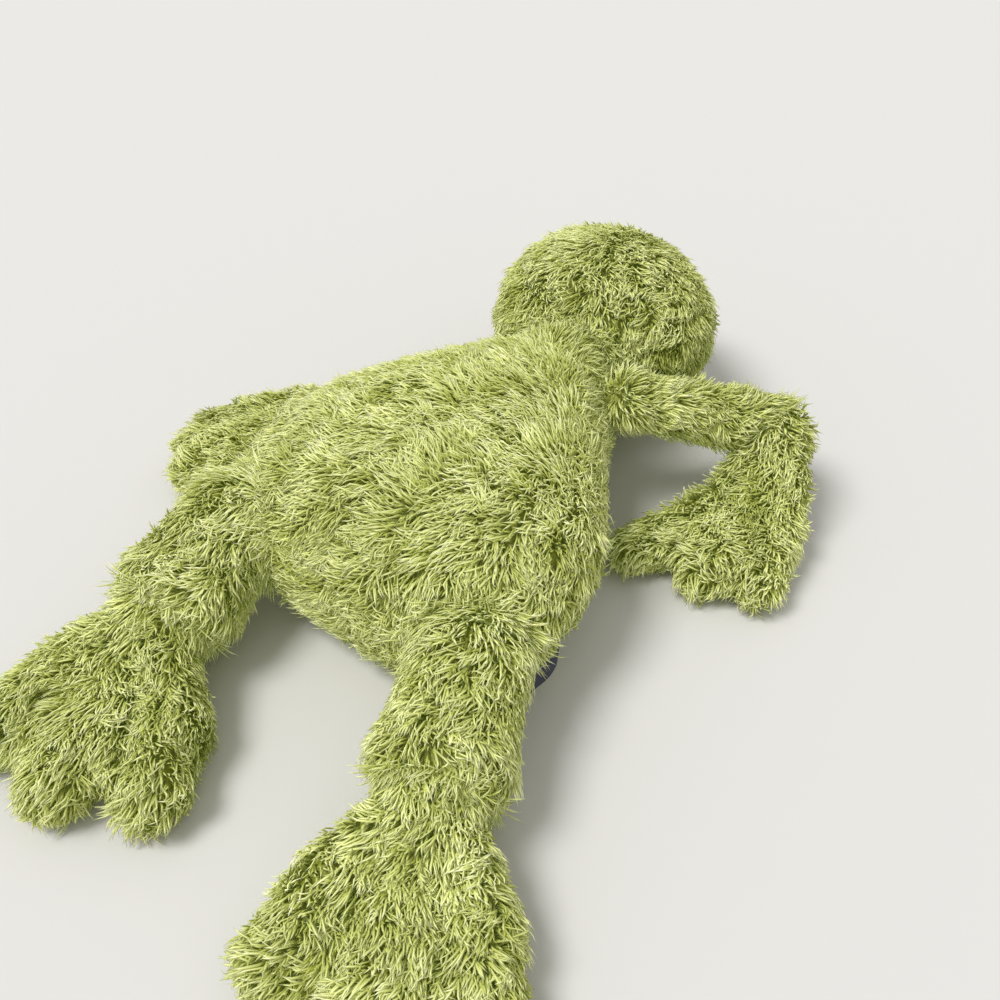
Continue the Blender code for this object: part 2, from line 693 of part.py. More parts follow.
def make_leg(pose):
    """Leg on its hip seam, and the foot with its toes."""
    side, name = pose["side"], pose["name"]
    hip = Vector((side * HIP_SPACING / 2, HIP_REAR, HIP_HEIGHT))
    drop = math.asin((HIP_HEIGHT - ANKLE_HEIGHT) / LEG_LENGTH)
    at = limb_frame(hip, side, pose["leg"], drop)
    ankle = hip + heading_direction(side, pose["leg"], drop) * LEG_LENGTH
    seam_ring(name + "_hip_seam_thread", at, HIP_RADIUS, LIMB_SEAM_POLAR)

    def end_cuts(label, inset):
        return (ball_tool(label + "_ankle_hollow", ankle, ANKLE_RADIUS + SEAM_GAP + inset),)

    end_gap = ANKLE_RADIUS * LEG_END_SHARE
    spec = (HIP_RADIUS, LEG_RADIUS, LEG_LENGTH, end_gap, LEG_END_RADIUS, LEG_OPENING)
    make_limb(name + "_leg", at, spec, end_cuts)
    toes = [
        (FOOT_SPLAY, FOOT_TOE, FOOT_TOE_HALF_WIDTH),
        (0, FOOT_MIDDLE_TOE, FOOT_TOE_HALF_WIDTH),
        (-FOOT_SPLAY, FOOT_TOE, FOOT_TOE_HALF_WIDTH),
    ]
    foot = {
        "root": ANKLE_RADIUS * PAW_ROOT_SHARE, "root_half_width": FOOT_ANKLE_HALF_WIDTH,
        "palm": FOOT_PALM, "palm_half_width": FOOT_PALM_HALF_WIDTH, "digits": toes,
        "height": ANKLE_HEIGHT, "thickness": FOOT_THICKNESS, "tip_thickness": FOOT_TIP_THICKNESS,
        "ball": ANKLE_RADIUS, "opening": LEG_OPENING,
    }
    at = limb_frame(ankle, side, pose["foot"], 0)
    before = limb_frame(ankle, side, pose["leg"], drop)
    make_paw(name + "_foot", name + "_foot_pellet_bag", at, before, foot)


def make_label():
    """A strip of woven cloth folded on itself, its cut ends at the side seam."""
    form = bmesh.new()
    thick = LABEL_CLOTH
    apart = LABEL_FOLD
    reach = LABEL_REACH
    profile = [
        (0, 0), (reach, 0), (reach, 2 * thick + apart), (0, 2 * thick + apart),
        (0, thick + apart), (reach - thick, thick + apart), (reach - thick, thick), (0, thick),
    ]
    face = form.faces.new([form.verts.new((-out, 0, rise)) for out, rise in profile])
    drawn = bmesh.ops.extrude_face_region(form, geom=[face])["geom"]
    corners = [item for item in drawn if isinstance(item, bmesh.types.BMVert)]
    bmesh.ops.translate(form, vec=(0, LABEL_LENGTH, 0), verts=corners)
    low = math.radians(LABEL_SEAM_ANGLE)
    out = TORSO_HALF_WIDTH * math.cos(low) + SEAM_GAP
    seam_height = (TORSO_HEIGHT - REST_CUT - (TORSO_HEIGHT + REST_CUT) * math.sin(low)) / 2
    spot = Matrix.Translation((-out, LABEL_REAR, seam_height))
    droop = Matrix.Rotation(-math.radians(LABEL_DROOP), 4, "Y")
    place("side_label", form, LABEL_WEAVE, spot @ droop)


make_torso()
make_head()
for lie in (RIGHT, LEFT):
    make_arm(lie)
    make_leg(lie)
make_label()
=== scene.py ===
"""Plush frog lying flat on its belly, arms and legs spread: long-pile covers, eyes, mouth, label."""

import json
import math

import bmesh
import bpy
import numpy as np
from mathutils import Matrix, Vector
from mathutils.bvhtree import BVHTree
from mathutils.kdtree import KDTree


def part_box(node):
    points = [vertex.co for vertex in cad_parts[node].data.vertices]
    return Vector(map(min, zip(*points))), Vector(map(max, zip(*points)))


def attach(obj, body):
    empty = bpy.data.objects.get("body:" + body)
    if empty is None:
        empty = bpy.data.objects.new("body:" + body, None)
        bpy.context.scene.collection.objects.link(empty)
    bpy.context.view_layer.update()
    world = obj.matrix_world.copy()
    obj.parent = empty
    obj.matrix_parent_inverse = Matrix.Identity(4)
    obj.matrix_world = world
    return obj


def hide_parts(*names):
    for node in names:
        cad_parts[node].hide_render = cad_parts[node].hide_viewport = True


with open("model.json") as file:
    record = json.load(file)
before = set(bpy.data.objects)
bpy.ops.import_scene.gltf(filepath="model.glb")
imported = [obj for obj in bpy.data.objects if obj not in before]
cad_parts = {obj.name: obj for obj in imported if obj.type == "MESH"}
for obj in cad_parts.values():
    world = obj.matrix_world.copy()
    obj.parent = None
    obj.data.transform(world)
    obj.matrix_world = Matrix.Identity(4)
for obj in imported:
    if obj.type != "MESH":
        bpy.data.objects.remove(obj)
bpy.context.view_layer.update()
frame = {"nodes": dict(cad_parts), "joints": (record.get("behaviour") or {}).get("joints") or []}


# Torso
# The body is one pear-shaped bag of lime polyester plush, sewn from four panels inside out and
# turned. It is stuffed with fibre round a bag of pellets, and its pile is long, soft and brushed
# in no one direction, its strands clinging together in locks.

FORM_CELL = 0.0030
FILLING_REACH = 0.0017
PILE_DEPTH = 0.0040
PILE_CLEARANCE = 0.0015
PILE_TRANSITION = 0.0080
PRESSED_ROOM = 0.0009
ROOT_DEPTH = 0.0003
PUFF_FRAMES = 20
PUFF_LIMIT = 0.0016
TABLE_CLEARANCE = 0.0004
TABLE_REACH = 0.0160
TUFTS_IN_LOCK = 15


class Shade:
    """A socket of a material's nodes. Sums and products of shades add the Math nodes."""

    def __init__(self, tree, socket=None):
        self.tree = tree
        self.socket = socket

    def node(self, kind, settings, values, output=0):
        """Add a node: its settings first, then its sockets' values or links."""
        made = self.tree.nodes.new(kind)
        for name, value in settings.items():
            if name == "stops":
                ramp = made.color_ramp.elements
                while len(ramp) < len(value):
                    ramp.new(0.5)
                for stop, (position, colour) in zip(ramp, value):
                    stop.position = position
                    stop.color = colour
            else:
                setattr(made, name, value)
        for name, value in values.items():
            if isinstance(value, Shade):
                self.tree.links.new(value.socket, made.inputs[name])
            else:
                made.inputs[name].default_value = value
        return Shade(self.tree, made.outputs[output])

    def _maths(self, operation, first, second):
        return self.node("ShaderNodeMath", {"operation": operation}, {0: first, 1: second})

    def __add__(self, other):
        return self._maths("ADD", self, other)

    __radd__ = __add__

    def __sub__(self, other):
        return self._maths("SUBTRACT", self, other)

    def __rsub__(self, other):
        return self._maths("SUBTRACT", other, self)

    def __mul__(self, other):
        return self._maths("MULTIPLY", self, other)

    __rmul__ = __mul__

    def blended(self, first, second):
        """A colour that goes from the first to the second as this shade goes from 0 to 1."""
        return self.node(
            "ShaderNodeMix", {"data_type": "RGBA"}, {0: self, 6: first, 7: second}, 2
        )


def dye(red, green, blue):
    """A colour as it looks on screen, 0 to 255, as a shader's linear colour."""
    shares = [value / 255 for value in (red, green, blue)]
    linear = [s / 12.92 if s < 0.04045 else ((s + 0.055) / 1.055) ** 2.4 for s in shares]
    return (*linear, 1.0)


def finish(name, roughness):
    """A new material, its Principled shader and a Shade to build its pattern with."""
    material = bpy.data.materials.new(name)
    material.use_nodes = True
    shader = material.node_tree.nodes["Principled BSDF"]
    shader.inputs["Roughness"].default_value = roughness
    return material, shader, Shade(material.node_tree)


def feed(shader, socket, shade):
    """Lead a shade into one of the shader's sockets."""
    shade.tree.links.new(shade.socket, shader.inputs[socket])


def plush_finish():
    """Lime pile: its short under coat a soft green, its long strands pale and a little yellow. Along
    each strand the colour goes from darker at the root, painted shade deep in the pile, to paler at
    the tip, partly the yarn's own lighter tips and partly a painted highlight.
    """
    material, shader, start = finish("lime_plush", 0.55)
    shader.inputs["Sheen Weight"].default_value = 0.4
    shader.inputs["Sheen Roughness"].default_value = 0.4
    shader.inputs["Sheen Tint"].default_value = dye(232, 240, 172)
    shader.inputs["Specular IOR Level"].default_value = 0.35
    # A faint green glow over the whole pile is painted light: it lifts the shade between the tufts.
    shader.inputs["Emission Color"].default_value = dye(120, 137, 36)
    shader.inputs["Emission Strength"].default_value = 0.09
    spot = start.node("ShaderNodeUVMap", {"uv_map": "OFBake"}, {})
    tuft = start.node("ShaderNodeSeparateXYZ", {}, {0: spot})
    along = start.node("ShaderNodeSeparateXYZ", {}, {0: spot}, 1)
    # Each ramp runs from root to tip: the darker root is painted shade among the tufts, and the pale
    # ramp's creamy tip is partly the yarn's colour and partly a painted highlight.
    deep = along.node(
        "ShaderNodeValToRGB",
        {"stops": [
            (0.0, dye(134, 140, 42)),
            (0.35, dye(152, 159, 58)),
            (0.70, dye(174, 182, 80)),
            (1.0, dye(192, 199, 106)),
        ]},
        {"Fac": along},
    )
    pale = along.node(
        "ShaderNodeValToRGB",
        {"stops": [
            (0.0, dye(162, 169, 64)),
            (0.35, dye(212, 218, 122)),
            (0.70, dye(247, 250, 174)),
            (1.0, dye(255, 255, 220)),
        ]},
        {"Fac": along},
    )
    feed(shader, "Base Color", tuft.blended(deep, pale))
    return material


LIME_PLUSH = plush_finish()


def cover_tree(*covers):
    """The outsides of some CAD covers, to measure distances to."""
    form = bmesh.new()
    for cover in covers:
        form.from_mesh(frame["nodes"][cover].data)
    tree = BVHTree.FromBMesh(form)
    form.free()
    return tree


def finished_mesh(piece):
    """Work a piece's modifiers into a new mesh and remove the piece."""
    graph = bpy.context.evaluated_depsgraph_get()
    mesh = bpy.data.meshes.new_from_object(piece.evaluated_get(graph))
    bpy.data.objects.remove(piece)
    return mesh


def filled_form(cover, fillings):
    """The outer shape of a cover and what fills it, as one even, softened skin."""
    form = bmesh.new()
    form.from_mesh(frame["nodes"][cover].data)
    bmesh.ops.remove_doubles(form, verts=form.verts, dist=1e-6)
    for filling in fillings:
        known = set(form.verts)
        form.from_mesh(frame["nodes"][filling].data)
        added = [vert for vert in form.verts if vert not in known]
        bmesh.ops.remove_doubles(form, verts=added, dist=1e-6)
        added = [vert for vert in form.verts if vert not in known]
        form.normal_update()
        for vert in added:
            vert.co += FILLING_REACH * vert.normal
    mesh = bpy.data.meshes.new(cover)
    form.to_mesh(mesh)
    form.free()
    piece = bpy.data.objects.new(cover + "_form", mesh)
    bpy.context.collection.objects.link(piece)
    remesh = piece.modifiers.new("even", "REMESH")
    remesh.mode = "VOXEL"
    remesh.voxel_size = FORM_CELL
    soften = piece.modifiers.new("soft", "SMOOTH")
    soften.factor = 0.5
    soften.iterations = 10
    return finished_mesh(piece)


def outermost(form):
    """Keep the largest connected part of a form."""
    form.verts.ensure_lookup_table()
    left = set(form.verts)
    parts = []
    while left:
        reached = {left.pop()}
        edge_of = list(reached)
        while edge_of:
            vert = edge_of.pop()
            for edge in vert.link_edges:
                other = edge.other_vert(vert)
                if other in left:
                    left.discard(other)
                    reached.add(other)
                    edge_of.append(other)
        parts.append(reached)
    parts.sort(key=len)
    spare = [vert for part in parts[:-1] for vert in part]
    bmesh.ops.delete(form, geom=spare, context="VERTS")


def puffed(mesh):
    """How far each point of a cover moves as its filling presses the cloth out."""
    scene = bpy.context.scene
    piece = bpy.data.objects.new("puffed", mesh.copy())
    bpy.context.collection.objects.link(piece)
    cloth = piece.modifiers.new("filling", "CLOTH")
    cloth.settings.quality = 4
    cloth.settings.mass = 0.4
    cloth.settings.tension_stiffness = 12
    cloth.settings.compression_stiffness = 12
    cloth.settings.bending_stiffness = 2
    cloth.settings.use_pressure = True
    cloth.settings.uniform_pressure_force = 4
    cloth.settings.effector_weights.gravity = 0
    cloth.point_cache.frame_end = PUFF_FRAMES
    for frame_number in range(1, PUFF_FRAMES + 1):
        scene.frame_set(frame_number)
    graph = bpy.context.evaluated_depsgraph_get()
    pressed = piece.evaluated_get(graph).data
    moved = np.array([vert.co for vert in pressed.vertices])
    moved -= np.array([vert.co for vert in mesh.vertices])
    bpy.data.objects.remove(piece)
    scene.frame_set(1)
    return moved


def cloth_of(cover, fillings, neighbours):
    """The backing cloth of a cover, drawn in by the pile's depth where nothing lies against it.
    Returns its places, normals, corner triples, pile depth and room to the next piece."""
    mesh = filled_form(cover, fillings)
    form = bmesh.new()
    form.from_mesh(mesh)
    outermost(form)
    form.to_mesh(mesh)
    bmesh.ops.triangulate(form, faces=form.faces)
    form.normal_update()
    tree = cover_tree(*neighbours)
    places = np.array([vert.co for vert in form.verts])
    normals = np.array([vert.normal for vert in form.verts])
    form.verts.index_update()
    corners = np.array([[vert.index for vert in face.verts] for face in form.faces])
    room = np.array([tree.find_nearest(vert.co)[3] for vert in form.verts])
    form.free()
    moved = puffed(mesh)
    limit = np.minimum(PUFF_LIMIT, 0.4 * room)
    gone = np.maximum(np.linalg.norm(moved, axis=1), 1e-9)
    places += moved * np.minimum(1, limit / gone)[:, None]
    bpy.data.meshes.remove(mesh)
    share = np.clip((room - PILE_CLEARANCE) / PILE_TRANSITION, 0, 1)
    depth = PILE_DEPTH * share * share * (3 - 2 * share)
    places = places - normals * depth[:, None]
    return places, normals, corners, depth, room


def tuft_form(rings):
    """One tuft as a three-sided strand, a unit long and wide, with rings of a given width."""
    form = bmesh.new()
    bmesh.ops.create_cone(
        form, cap_ends=True, segments=3, radius1=0.5, radius2=0, depth=1,
        matrix=Matrix.Translation((0, 0, 0.5)),
    )
    bmesh.ops.remove_doubles(form, verts=form.verts, dist=1e-5)
    for height, _width in rings:
        bmesh.ops.bisect_plane(
            form, geom=form.verts[:] + form.edges[:] + form.faces[:],
            plane_co=(0, 0, height), plane_no=(0, 0, 1),
        )
    for height, width in rings:
        ring = [vert for vert in form.verts if abs(vert.co.z - height) < 1e-4]
        spread = width / (1 - height)
        bmesh.ops.scale(form, vec=(spread, spread, 1), verts=ring)
    bmesh.ops.triangulate(form, faces=form.faces)
    bmesh.ops.recalc_face_normals(form, faces=form.faces)
    form.verts.index_update()
    shape = np.array([vert.co for vert in form.verts])
    corners = np.array([[vert.index for vert in face.verts] for face in form.faces])
    form.free()
    return shape, corners


UNDER_COAT = {
    "tuft": tuft_form([(0.55, 0.90)]), "per_square_metre": 270000, "length": 0.0100,
    "width": 0.00140, "rise": 0.0022, "wave": 0.0005, "curl": 0.0016, "lift": 0.0004,
    "tone": 0.26, "stray": 0.22, "lock_turn": 0.22, "cling": 0.20, "parted": 0.0,
}
TOP_COAT = {
    "tuft": tuft_form([(0.36, 1.0), (0.76, 0.86)]), "per_square_metre": 330000,
    "length": 0.0160, "width": 0.00124, "rise": 0.0018, "wave": 0.0010, "curl": 0.0038,
    "lift": 0.0013, "tone": 0.64, "stray": 0.12, "lock_turn": 0.36, "cling": 0.42, "parted": 0.50,
}


def drift(places, reach, seed):
    """A slow wander over the cloth, about -1 to 1, as brushed and pressed pile has."""
    chance = np.random.default_rng(seed)
    total = np.zeros(len(places))
    for _ in range(7):
        course = chance.normal(size=3)
        course *= chance.uniform(0.6, 1.5) * math.tau / reach / np.linalg.norm(course)
        total += np.sin(places @ course + chance.uniform(0, math.tau))
    return total / 2.6


def unit(rows):
    """Rows of vectors at length one."""
    return rows / np.maximum(np.linalg.norm(rows, axis=1), 1e-9)[:, None]


def scattered(cloth, per_square_metre, chance):
    """Roots spread evenly over a cloth: a function that reads the cloth's values at them."""
    places, _normals, corners, _depth, _room = cloth
    a, b, c = (places[corners[:, k]] for k in range(3))
    areas = np.linalg.norm(np.cross(b - a, c - a), axis=1) / 2
    count = int(areas.sum() * per_square_metre * (1.0))
    steps = (np.arange(count) + chance.uniform(size=count)) / count
    face = np.searchsorted(np.cumsum(areas) / areas.sum(), steps)
    face = np.minimum(face, len(areas) - 1)
    u, v = chance.uniform(size=(2, count))
    over = u + v > 1
    u[over], v[over] = 1 - u[over], 1 - v[over]
    weight = np.stack([1 - u - v, u, v], axis=1)

    def at_roots(values):
        return np.einsum("ij,ij...->i...", weight, values[corners[face]])

    return at_roots


def locked(root, chance):
    """The locks that the tufts cling together in: their middle tufts, and each tuft's lock."""
    middles = chance.choice(len(root), max(1, len(root) // TUFTS_IN_LOCK), replace=False)
    tree = KDTree(len(middles))
    for number, spot in enumerate(root[middles]):
        tree.insert(spot, number)
    tree.balance()
    return middles, np.array([tree.find(spot)[1] for spot in root])


def grown_coat(coat, cloth, comb, chance, seed, length, bare):
    """One coat of tufts on a cloth: their points, corner triples and map."""
    places, normals, _corners, depth, room = cloth
    at_roots = scattered(cloth, coat["per_square_metre"], chance)
    root, normal = at_roots(places), unit(at_roots(normals))
    deep, space = at_roots(depth), at_roots(room)
    pressed = space < PRESSED_ROOM
    keep = ~pressed | (coat is UNDER_COAT)
    under = (normal[:, 2] < -0.6) & (root[:, 2] < TABLE_REACH)
    keep &= ~(under & (chance.uniform(size=len(root)) > 0.35))
    full_share = 0.92 + coat["parted"] * np.minimum(0, drift(root, 0.028, seed + 5) + 0.2)
    keep &= chance.uniform(size=len(root)) < full_share
    short = np.ones(len(root)) if bare is None else bare(root)
    short = np.where(pressed, np.minimum(short, 0.45), short)
    keep &= short > 0.05
    root, normal, deep, short, pressed = (row[keep] for row in (root, normal, deep, short, pressed))
    count = len(root)

    middles, lock = locked(root, chance)
    lock_turn, lock_lift, lock_curl, lock_tone = chance.normal(size=(4, len(middles)))[:, lock]
    wander = drift(root, 0.045, seed + 1) * 0.42 + drift(root, 0.016, seed + 2) * 0.30
    wander += lock_turn * coat["lock_turn"]
    flow = comb(root, normal)
    flow = flow - normal * np.sum(flow * normal, axis=1)[:, None]
    unled = 1 - np.clip(np.linalg.norm(flow, axis=1) / 0.5, 0, 1)
    flow = unit(flow)
    turn = wander + chance.normal(size=count) * (coat["stray"] + 1.5 * unled)
    side = np.cross(normal, flow)
    lie = flow * np.cos(turn)[:, None] + side * np.sin(turn)[:, None]
    side = np.cross(normal, lie)
    full = coat["length"] * length * short * chance.uniform(0.70, 1.15, count)
    rise = (deep + coat["rise"] * chance.uniform(0.2, 1.8, count)) * np.minimum(1, short * 1.2)
    rise = np.where(pressed, rise * 0.1, np.minimum(rise, full * 0.9))
    reach = np.sqrt(full * full - rise * rise) * chance.uniform(0.82, 0.98, count)
    lift = coat["lift"] * (0.5 * chance.normal(size=count) + lock_lift) * ~pressed
    wave = coat["wave"] * chance.normal(size=count)
    curl = coat["curl"] * (0.9 * lock_curl + 0.4 * chance.normal(size=count))
    phase = chance.uniform(0, math.tau, count)
    bends = chance.uniform(3.0, 7.5, count)
    thick = coat["width"] * chance.uniform(0.7, 1.3, count) * 1.0

    shape, tuft_corners = coat["tuft"]
    s = shape[:, 2][None, :]
    rise, reach, lift, wave, curl, phase, bends = (
        value[:, None] for value in (rise, reach, lift, wave, curl, phase, bends)
    )
    up = rise * (1 - (1 - s) ** 2.2) - ROOT_DEPTH * (1 - s) + lift * s ** 3
    out = reach * s ** 1.15
    bow = wave * (np.sin(phase + bends * s) - np.sin(phase)) + curl * s * s
    up_rate = rise * 2.2 * (1 - s) ** 1.2 + ROOT_DEPTH + 3 * lift * s * s
    out_rate = reach * 1.15 * np.maximum(s, 0.02) ** 0.15
    bow_rate = wave * bends * np.cos(phase + bends * s) + 2 * curl * s
    frames = (normal[:, None, :], lie[:, None, :], side[:, None, :])
    drawn = (root[middles][lock] - root)[:, None, :] * (coat["cling"] * s ** 1.5)[..., None]
    line = root[:, None, :] + drawn + sum(x[..., None] * y for x, y in zip((up, out, bow), frames))
    line[..., 2] = np.maximum(line[..., 2], TABLE_CLEARANCE + 0.35 * thick[:, None])
    course = sum(x[..., None] * y for x, y in zip((up_rate, out_rate, bow_rate), frames))
    course /= np.linalg.norm(course, axis=2)[..., None]
    wide = side[:, None, :] - course * np.sum(course * side[:, None, :], axis=2)[..., None]
    wide /= np.linalg.norm(wide, axis=2)[..., None]
    high = np.cross(course, wide)
    spread = thick[:, None, None]
    grown = line + wide * shape[None, :, :1] * spread
    grown = grown + high * shape[None, :, 1:2] * spread * 0.55
    grown[..., 2] = np.maximum(grown[..., 2], TABLE_CLEARANCE)

    tone = coat["tone"] + 0.16 * drift(root, 0.035, seed + 3)
    tone += 0.09 * lock_tone + 0.11 * chance.normal(size=count)
    ring = np.arange(count)[:, None, None] * len(shape)
    triples = (tuft_corners[None] + ring).reshape(-1, 3)
    tone_map = np.repeat(np.clip(tone, 0.02, 0.98), tuft_corners.size)
    height_map = np.tile(shape[tuft_corners.ravel(), 2], count)
    return grown.reshape(-1, 3), triples, np.stack([tone_map, 0.02 + 0.96 * height_map], axis=1)


def plush(name, body, cloth, comb, seed, stands_for, length=1.0, bare=None):
    """A cover as its backing cloth and the two coats that grow from it, riding on its body.
    comb gives the way the pile lies at each root, and bare a share of cover that stays short."""
    chance = np.random.default_rng(seed)
    points, triples = [cloth[0]], [cloth[2]]
    # The backing cloth takes the darkest root colour of the ramps, painted shade under the pile.
    spots = [np.tile([0.30, 0.02], (cloth[2].size, 1))]
    for coat in (UNDER_COAT, TOP_COAT):
        grown, corners, map_spots = grown_coat(coat, cloth, comb, chance, seed, length, bare)
        triples.append(corners + sum(len(part) for part in points))
        points.append(grown)
        spots.append(map_spots)
    points = np.concatenate(points).astype(np.float32)
    triples = np.concatenate(triples).astype(np.int32)
    return cover_piece(name, body, points, triples, np.concatenate(spots), stands_for)


def stand_in(name, mesh, body, stands_for, material):
    """Put a finished mesh on its body, in place of its CAD nodes."""
    mesh.materials.append(material)
    piece = bpy.data.objects.new(name, mesh)
    bpy.context.collection.objects.link(piece)
    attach(piece, body)
    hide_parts(*stands_for)
    return piece


def dress(node, material):
    """Give a CAD node a better material."""
    node.data.materials.clear()
    node.data.materials.append(material)


def cover_piece(name, body, points, corners, spots, stands_for):
    """Make a cover's mesh with its map and let it stand for its CAD nodes."""
    mesh = bpy.data.meshes.new(name)
    mesh.vertices.add(len(points))
    mesh.vertices.foreach_set("co", points.ravel())
    mesh.loops.add(corners.size)
    mesh.loops.foreach_set("vertex_index", corners.ravel())
    mesh.polygons.add(len(corners))
    mesh.polygons.foreach_set("loop_start", np.arange(len(corners), dtype=np.int32) * 3)
    mesh.update(calc_edges=True)
    mesh.polygons.foreach_set("use_smooth", np.ones(len(corners), dtype=bool))
    mesh.uv_layers.new(name="OFBake").data.foreach_set("uv", spots.astype(np.float32).ravel())
    piece = stand_in(name, mesh, body, stands_for, LIME_PLUSH)
    return piece


COVERS = sorted(node for node in frame["nodes"] if node.endswith("_cover"))


def others(cover):
    """Every cover but this one."""
    return [name for name in COVERS if name != cover]


def torso_comb(root, normal):
    """Over the back the pile is brushed across to the left, and down the flanks at the edges."""
    across = np.array([0.80, 0.50, -0.05])
    outwards = root * np.array([1.0, 1.0, 0.0]) / 0.080
    share = np.clip(np.linalg.norm(outwards[:, :2], axis=1), 0, 1.3)[:, None] ** 2
    return across * (1.15 - 0.5 * share) + outwards * share * 0.8


torso_cloth = cloth_of("torso_cover", ["torso_stuffing", "torso_pellet_bag"], others("torso_cover"))
plush(
    "torso_plush", "torso", torso_cloth, torso_comb, 11,
    ["torso_cover", "torso_stuffing", "torso_pellet_bag"],
)


# Head
# The head is a round bag of the same plush on a turning neck seam, with two small mounds at the
# front gathered into it for the eyes. Its pile is brushed back, and clipped round the eyes.

HEAD_REACH = 0.065
EYE_CLIP = 0.0062
EYE_HOLD = 0.0165
EYE_HOLD_FADE = 0.0070
STITCH_CLIP = 0.0016
STITCH_HOLD = 0.0100
STITCH_HOLD_FADE = 0.0060
STITCH_SEARCH = 0.0500
CLIP_FADE = 0.0080
EYE_SPOTS = [sum(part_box(side + "_eye"), Vector()) / 2 for side in ("right", "left")]


def head_comb(root, normal):
    """Back over the crown, and down the cheeks and the face."""
    middle = (Vector(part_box("head_cover")[0]) + Vector(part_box("head_cover")[1])) / 2
    outwards = (root - np.array(middle)) / HEAD_REACH
    return np.array([-0.14, 0.50, -0.50]) + outwards * 0.72


def stitch_gaps(places):
    """How far each place is from the mouth's thread, within the search."""
    stitches = np.array([vert.co for vert in frame["nodes"]["mouth_thread"].data.vertices])
    gaps = np.full(len(places), STITCH_SEARCH)
    front = np.where(places[:, 1] < stitches[:, 1].max() + 0.02)[0]
    for start in range(0, len(front), 2000):
        part = front[start:start + 2000]
        gaps[part] = np.linalg.norm(places[part][:, None] - stitches[None], axis=2).min(axis=1)
    return gaps


def clipped(root):
    """Share of the pile's length that is left: short round the eyes, parted at the mouth."""
    left = np.ones(len(root))
    for spot in EYE_SPOTS:
        gap = np.linalg.norm(root - np.array(spot), axis=1)
        left = np.minimum(left, np.clip((gap - EYE_CLIP) / CLIP_FADE, 0, 1))
    return np.minimum(left, np.clip((stitch_gaps(root) - STITCH_CLIP) / CLIP_FADE, 0, 1))


def seated(cloth):
    """Keep the cloth on the head's true form where the eyes and the mouth's stitches hold it."""
    places, normals, corners, depth, room = cloth
    skin = cover_tree("head_cover")
    gaps = np.stack([np.linalg.norm(places - np.array(spot), axis=1) for spot in EYE_SPOTS])
    held = np.clip((EYE_HOLD - gaps.min(axis=0)) / EYE_HOLD_FADE, 0, 1)
    sewn = np.clip((STITCH_HOLD - stitch_gaps(places)) / STITCH_HOLD_FADE, 0, 1)
    held = np.maximum(held, sewn)
    places = places.copy()
    for number in np.where(held > 0)[0]:
        way = Vector(normals[number])
        spot, _normal, _face, _gap = skin.ray_cast(Vector(places[number]) + way * 0.02, -way, 0.04)
        if spot is not None:
            places[number] += (np.array(spot - way * 0.0002) - places[number]) * held[number]
    return places, normals, corners, depth * (1 - held), room


head_cloth = seated(cloth_of("head_cover", ["head_stuffing"], others("head_cover")))
plush(
    "head_plush", "head", head_cloth, head_comb, 23,
    ["head_cover", "head_stuffing"], length=0.95, bare=clipped,
)


# Arms
# Each arm is a tube of plush from the shoulder to the elbow, lightly stuffed, then a flat mitten
# of a forearm and a hand of three broad fingers that holds a small bag of pellets.

HAND_HEADINGS = (-2, 23)
HAND_PALM = 0.058
HAND_SPLAY = 46
CREASE_REACH = 0.020
CREASE_HALF_WIDTH = 0.0042
CREASE_DEPTH = 0.0085
JOINTS = {joint["name"]: joint for joint in frame["joints"]}


def limb_comb(start, end, outward, downward):
    """The pile of a limb lies along it, and fans out to its sides."""
    first, last = np.array(start), np.array(end)
    axis = (last - first) / np.linalg.norm(last - first)

    def comb(root, normal):
        arm = root - first
        off = arm - np.outer(arm @ axis, axis)
        lie = axis + unit(off) * outward
        lie[:, 2] -= downward
        return lie

    return comb


def creased(cloth, joint, heading, palm, splay):
    """Draw a paw's upper cloth down along the two lines that its fingers are parted by.
    The heading is in degrees from straight back towards the frog's left."""
    places, normals, corners, depth, room = cloth
    down = np.zeros(len(places))
    ahead = np.array([math.sin(math.radians(heading)), math.cos(math.radians(heading))])
    start = np.array(joint)[:2] + ahead * palm * 0.35
    for half in (-0.5, 0.5):
        turn = math.radians(heading + splay * half)
        along = np.array([math.sin(turn), math.cos(turn)])
        off = places[:, :2] - start
        far = off @ along
        wide = np.abs(off @ np.array([along[1], -along[0]]))
        share = np.clip(far / (palm + CREASE_REACH), 0, 1) ** 0.6
        share = share * np.exp(-(wide / CREASE_HALF_WIDTH) ** 2)
        down = np.maximum(down, CREASE_DEPTH * share * (far > 0))
    down *= np.clip(normals[:, 2] + 0.2, 0, 1)
    return places - np.stack([0 * down, 0 * down, down], axis=1), normals, corners, depth, room


def paw_comb(start, middle, outward, downward):
    """The pile of a paw lies the way the fingers point, and fans out with them."""
    first, centre = np.array(start), np.array(middle)
    axis = (centre - first) * np.array([1.0, 1.0, 0.0])
    reach = np.linalg.norm(axis)
    axis /= reach

    def comb(root, normal):
        lie = axis + (root - centre) / reach * outward
        lie[:, 2] -= downward
        return lie

    return comb


def middle_of(node):
    """Middle of a CAD node's box."""
    low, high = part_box(node)
    return (low + high) / 2


def at_joint(name):
    """Where a joint turns, in the row frame."""
    return Vector(JOINTS[name]["pos_m"])


